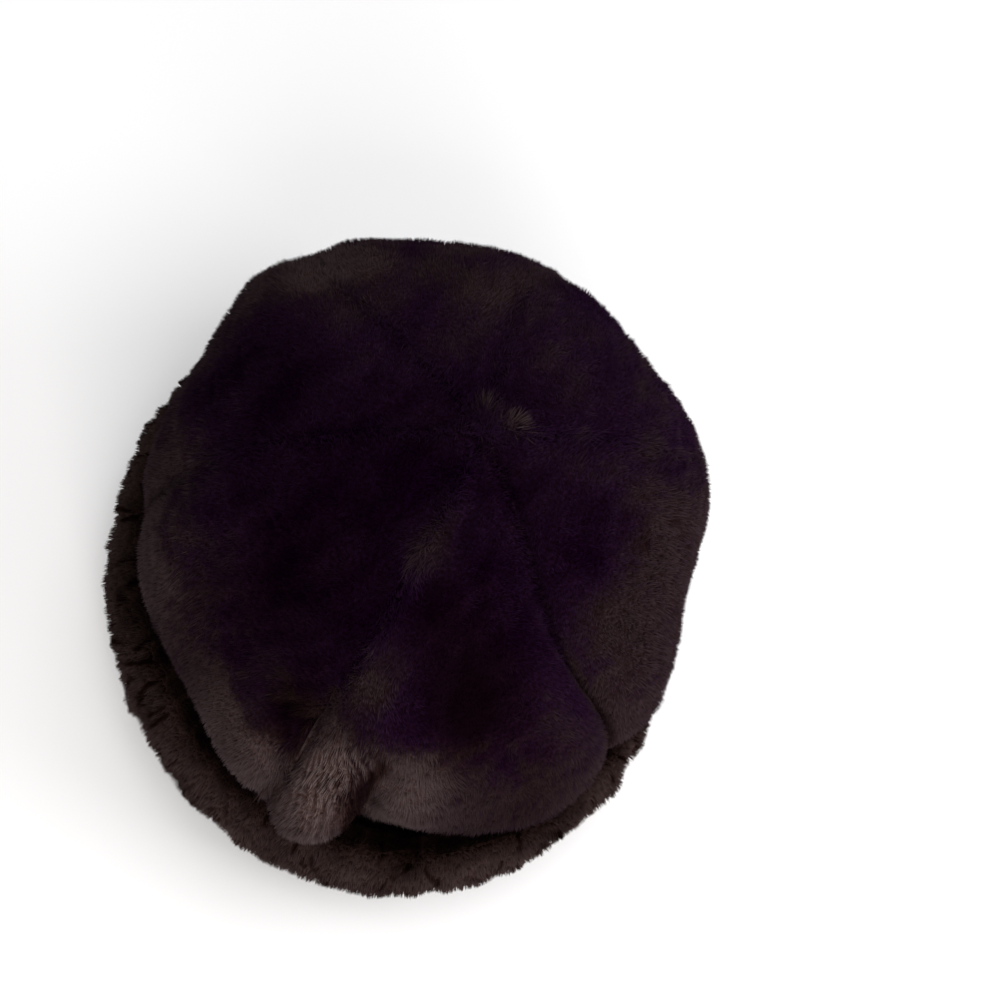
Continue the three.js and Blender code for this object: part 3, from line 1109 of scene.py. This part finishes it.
def cuff_tone(points, normals, settings):
    """Tone of the cuff's fur, with patches, and darkened in the hollow under the crown as painted shadow."""
    _, _, rise = round_the_roll(points)
    tone = settings.tone + CUFF_PATCH_TONE * wander(points, "cuff_patches")[:, 1]
    return tone - settings.hollow_shade * ease(rise, HOLLOW_FROM, HOLLOW_TO)


def cuff_shade(points):
    """How deep in shadow the cuff's fur lies: in the hollow under the crown."""
    _, _, rise = round_the_roll(points)
    return HOLLOW_PAINTED_SHADE * ease(rise, HOLLOW_FROM, HOLLOW_TO)


def crown_tilt(points, normals, settings):
    """How the crown's pile leans: down the sides, wandering with the nap, and parted at its ruffles."""
    down = along_surface(np.tile((0.0, 0.0, -1.0), (len(points), 1)), normals)
    nap = along_surface(wander(points, "crown_nap"), normals)
    flick = along_surface(wander(points, "crown_flick"), normals)
    tilt = settings.fall * down + settings.swirl * nap + CROWN_HAIR["flick"] * settings.swirl * flick
    tilt -= CROWN_POINT["draw"] * crown_point_draw(points)
    for ruffle in RUFFLES:
        near = ruffle_share(points, ruffle)
        lean = np.tile((ruffle["lean_x"], ruffle["lean_y"], 0.0), (len(points), 1))
        lean[:, :2] += ruffle["spread"] * unit(points[:, :2] - np.array([ruffle["x"], ruffle["y"]]) * MM)
        tilt += near[:, None] * along_surface(lean, normals)
    return tilt


def ruffle_share(points, ruffle):
    """How much of a ruffle is felt at each place, from 0 to 1."""
    centre = np.array([ruffle["x"], ruffle["y"]]) * MM
    away = np.linalg.norm(points[:, :2] - centre, axis=1) / (ruffle["reach"] * MM)
    return np.exp(-away * away)


def crown_pile(node, forms, seed, settings):
    """The sheared pile of one gore, ruffled where it crosses a seam."""
    rng = np.random.default_rng(seed)
    crowd = SEAM_CROWD * beside_seam(forms[node])
    places, normals = scatter(forms[node], crown_outside, crowd, settings.hairs_per_gore, rng)
    walls = np.concatenate([seam_walls(forms[other]) for other in GORES if other != node])
    spots, gap = nearest(places, walls)
    beside = np.exp(-((gap / SEAM_RUFFLE_REACH) ** 2))[:, None]
    close = at_seams(places, "close")[:, None]
    normals = unit(normals + SEAM_UPRIGHT * close * beside * unit(places - HAT_CORE))
    roots = places - normals * settings.pile_depth
    most = CROWN_HAIR["height_most"]
    height = settings.pile_depth + np.clip(rng.normal(0, CROWN_HAIR["height"], len(places)), -most, most)
    height += CROWN_POINT["stand"] * MM * np.linalg.norm(crown_point_draw(places), axis=1)
    height += SEAM_FILL * (close * beside)[:, 0]
    height += MM * ruffled(node, places, "stand") * rng.uniform(*CROWN_HAIR["stand"], len(places))
    tilt = crown_tilt(places, normals, settings)
    tilt += beside * SEAM_RUFFLE * along_surface(rng.normal(size=places.shape), normals)
    over = along_surface(unit(spots - places), normals)
    tilt += close * beside * SEAM_LEAN * rng.uniform(*CROWN_HAIR["over_seam"], (len(places), 1)) * over
    tips = roots + (normals + tilt) * height[:, None]
    tips, clump = gather(tips, settings.clump_size, settings.clump_pull, rng)
    unevenness = rng.normal(0, CROWN_HAIR["tone"], len(places))
    unevenness += CROWN_HAIR["clump_tone"] * rng.normal(size=clump.max() + 1)[clump]
    tone = np.clip(crown_tone(node, places, normals, settings, unevenness), TONE_LEAST, TONE_MOST)
    shade = crown_shade(node, places) + at_seams(places, "shade") * beside[:, 0]
    width = settings.hair_width * rng.uniform(*CROWN_HAIR["width"], (len(places), 1))
    pile = hair_mesh(node + "_pile", roots, tips, width, tone, shade, rng)
    pile.materials.append(fur_material("crown_hair", settings))
    return place_piece(node + "_pile", pile)


def cuff_partings(places, settings):
    """How much of a short parting in the cuff's fur each place has, from 0 to 1."""
    rng = np.random.default_rng(PARTING_SEED)
    count = settings.partings
    bearings = (np.arange(count) + rng.uniform(*PARTING_PLACE, count)) / count * 2 * math.pi
    rises = rng.uniform(*PARTING_RISE, count)
    slants = rng.normal(0, PARTING_SLANT, count)
    reach = rng.uniform(*PARTING_REACH, count)
    bearing, radius, rise = round_the_roll(places)
    away = (bearing[:, None] - bearings + math.pi) % (2 * math.pi) - math.pi
    along = rise[:, None] - rises
    arc = away * radius[:, None] + slants * along * ROLL_CORE["height"]
    felt = np.exp(-((arc / settings.parting_width) ** 2) - (along / reach) ** 4)
    return np.clip(felt.sum(axis=1), 0.0, 1.0)


def cuff_half(name, form, side, seed, settings):
    """The long fur of one half of the cuff, combed over the roll and down."""
    rng = np.random.default_rng(seed)

    def half_outside(points, normals):
        return cuff_outside(points, normals) * (side * points[:, 0] > 0)

    count = settings.hairs_per_half * PARTING_CROWD
    places, normals = scatter(form, half_outside, np.zeros(len(form.vertices)), count, rng)
    radial = unit(places * np.array([1.0, 1.0, 0.0]))
    over = radial * CUFF_HAIR["comb_out"] - np.array([0.0, 0.0, CUFF_HAIR["comb_down"]])
    comb = along_surface(over, normals)
    nap = along_surface(wander(places, "cuff_nap"), normals)
    flick = along_surface(wander(places, "cuff_flick"), normals)
    tilt = settings.comb * comb + settings.swirl * (nap + CUFF_HAIR["flick"] * flick)
    roots = places - normals * settings.pile_depth
    height = settings.pile_depth * rng.uniform(*CUFF_HAIR["height"], len(places))
    tips = roots + (normals + tilt) * height[:, None]
    tips, clump = gather(tips, settings.clump_size, settings.clump_pull, rng)
    parted = cuff_partings(tips, settings)
    tips -= normals * (PARTING_SINK * parted)[:, None]
    tips[:, 2] = np.maximum(tips[:, 2], FLOOR_CLEARANCE)
    tone = cuff_tone(places, normals, settings) - PARTING_SHADOW_TONE * parted
    tone += rng.normal(0, CUFF_HAIR["tone"], len(places))
    tone += CUFF_HAIR["lock_tone"] * rng.normal(size=clump.max() + 1)[clump]
    tone = np.clip(tone, TONE_LEAST, TONE_MOST)
    width = settings.hair_width * rng.uniform(*CUFF_HAIR["width"], (len(places), 1))
    width *= 1.0 + PARTED_WIDTH * parted[:, None]
    shade = PARTED_SHADE * parted + cuff_shade(places)
    kept = (np.arange(count) % PARTING_CROWD == 0) | (parted > PARTED_LEAST)
    fur = hair_mesh(name, roots[kept], tips[kept], width[kept], tone[kept], shade[kept], rng)
    fur.materials.append(fur_material("cuff_hair", settings))
    return place_piece(name, fur)


class FURHAT_OT_hides(Operator):
    """Make the hides of the crown's gores and of the cuff's roll."""

    bl_idname = "fur_hat.hides"
    bl_label = "Hides"

    def execute(self, context):
        hides = context.scene.fur_hat_hides
        crown = context.scene.fur_hat_crown
        for node, form in crown_forms(crown, hides).items():
            name = node + "_hide"
            dress = partial(dress_hide, name, form, CROWN_SLOT, crown_sink, crown_inside)
            hide = dress(partial(crown_tone, node), partial(crown_shade, node), crown, hides)
            place_piece(name, hide, node)
        cuff = context.scene.fur_hat_cuff
        form = cuff_form(cuff, hides)
        dress = partial(dress_hide, "cuff_roll", form, CUFF_SLOT, cuff_sink, cuff_inside)
        roll = dress(cuff_tone, cuff_shade, cuff, hides)
        place_piece("cuff_roll", roll, CUFF)
        return {"FINISHED"}


class FURHAT_OT_crown(Operator):
    """Make the sheared pile of the crown's six gores."""

    bl_idname = "fur_hat.crown"
    bl_label = "Crown pile"

    def execute(self, context):
        crown = context.scene.fur_hat_crown
        forms = crown_forms(crown, context.scene.fur_hat_hides)
        for number, node in enumerate(GORES):
            crown_pile(node, forms, CROWN_SEED + CROWN_SEED_STEP * number, crown)
        for form in forms.values():
            bpy.data.meshes.remove(form)
        return {"FINISHED"}


class FURHAT_OT_cuff(Operator):
    """Make the long fur of the cuff, in two halves."""

    bl_idname = "fur_hat.cuff"
    bl_label = "Cuff fur"

    def execute(self, context):
        cuff = context.scene.fur_hat_cuff
        form = cuff_form(cuff, context.scene.fur_hat_hides)
        for name, side, seed in CUFF_HALVES:
            cuff_half(name, form, side, seed, cuff)
        bpy.data.meshes.remove(form)
        return {"FINISHED"}


def soft_light(name, place, size, power, colour):
    """A large square soft light at a place, turned towards the hat."""
    data = bpy.data.lights.new(name, "AREA")
    data.shape = "SQUARE"
    data.size = size
    data.energy = power
    data.color = colour
    light = bpy.data.objects.new(name, data)
    light.location = place
    light.rotation_euler = (Vector(LIGHT_AIM) - Vector(place)).to_track_quat("-Z", "Y").to_euler()
    bpy.context.scene.collection.objects.link(light)
    return light


class FURHAT_OT_stage(Operator):
    """Set the plain floor, soft light and camera."""

    bl_idname = "fur_hat.stage"
    bl_label = "Stage"

    def execute(self, context):
        stage = context.scene.fur_hat_stage
        self.lay_floor(stage)
        self.set_light(context.scene)
        self.set_camera(context.scene, stage)
        return {"FINISHED"}

    def lay_floor(self, stage):
        corners = [(x * FLOOR_HALF, y * FLOOR_HALF, 0) for x, y in ((-1, -1), (1, -1), (1, 1), (-1, 1))]
        mesh = bpy.data.meshes.new("floor")
        mesh.from_pydata(corners, [], [(0, 1, 2, 3)])
        material, shader = new_material("pale_floor", FLOOR_FINISH)
        shader.inputs["Base Color"].default_value = (*stage.floor_colour, 1.0)
        mesh.materials.append(material)
        floor = bpy.data.objects.new("floor", mesh)
        bpy.context.scene.collection.objects.link(floor)

    def set_light(self, scene):
        world = bpy.data.worlds.new("studio")
        world.use_nodes = True
        sky = world.node_tree.nodes["Background"]
        sky.inputs["Color"].default_value = (1.0, 1.0, 1.0, 1.0)
        sky.inputs["Strength"].default_value = SKY_STRENGTH
        scene.world = world
        for light in LIGHTS:
            soft_light(**light)
        scene.view_settings.view_transform = "Standard"
        scene.view_settings.look = "None"

    def set_camera(self, scene, stage):
        turn = stage.azimuth
        rise = stage.elevation
        back = Vector((math.sin(turn) * math.cos(rise), -math.cos(turn) * math.cos(rise), math.sin(rise)))
        level = Vector((math.cos(turn), math.sin(turn), 0.0))
        upright = back.cross(level)
        right = math.cos(stage.roll) * level + math.sin(stage.roll) * upright
        up = back.cross(right)
        place = Vector((0.0, 0.0, stage.aim_height)) + stage.distance * back
        place += stage.offset_right * right + stage.offset_up * up
        data = bpy.data.cameras.new("camera")
        data.sensor_width = SENSOR_WIDTH
        data.lens = stage.lens
        data.clip_start = NEAREST_SEEN
        camera = bpy.data.objects.new("camera", data)
        camera.matrix_world = Matrix.Translation(place) @ Matrix((right, up, back)).transposed().to_4x4()
        scene.collection.objects.link(camera)
        scene.camera = camera


class FURHAT_PT_sidebar(Panel):
    """The hat's pieces and their settings."""

    bl_idname = "FURHAT_PT_sidebar"
    bl_label = "Fur Hat"
    bl_space_type = "VIEW_3D"
    bl_region_type = "UI"
    bl_category = "Fur Hat"

    def draw(self, context):
        layout = self.layout
        for operator in OPERATORS:
            layout.operator(operator.bl_idname)
        for group in SETTINGS:
            settings = getattr(context.scene, group)
            box = layout.box()
            for name in settings.bl_rna.properties.keys():
                if name not in ("rna_type", "name"):
                    box.prop(settings, name)


OPERATORS = (FURHAT_OT_stage, FURHAT_OT_hides, FURHAT_OT_crown, FURHAT_OT_cuff)
SETTINGS = {
    "fur_hat_crown": CrownSettings,
    "fur_hat_cuff": CuffSettings,
    "fur_hat_hides": HideSettings,
    "fur_hat_stage": StageSettings,
}
CLASSES = (*SETTINGS.values(), *OPERATORS, FURHAT_PT_sidebar)


def register():
    for each in CLASSES:
        bpy.utils.register_class(each)
    for name, group in SETTINGS.items():
        setattr(bpy.types.Scene, name, PointerProperty(type=group))


def unregister():
    for name in SETTINGS:
        delattr(bpy.types.Scene, name)
    for each in reversed(CLASSES):
        bpy.utils.unregister_class(each)


def main():
    register()
    bpy.ops.fur_hat.stage()
    bpy.ops.fur_hat.hides()
    bpy.ops.fur_hat.crown()
    bpy.ops.fur_hat.cuff()


if __name__ == "__main__":
    main()
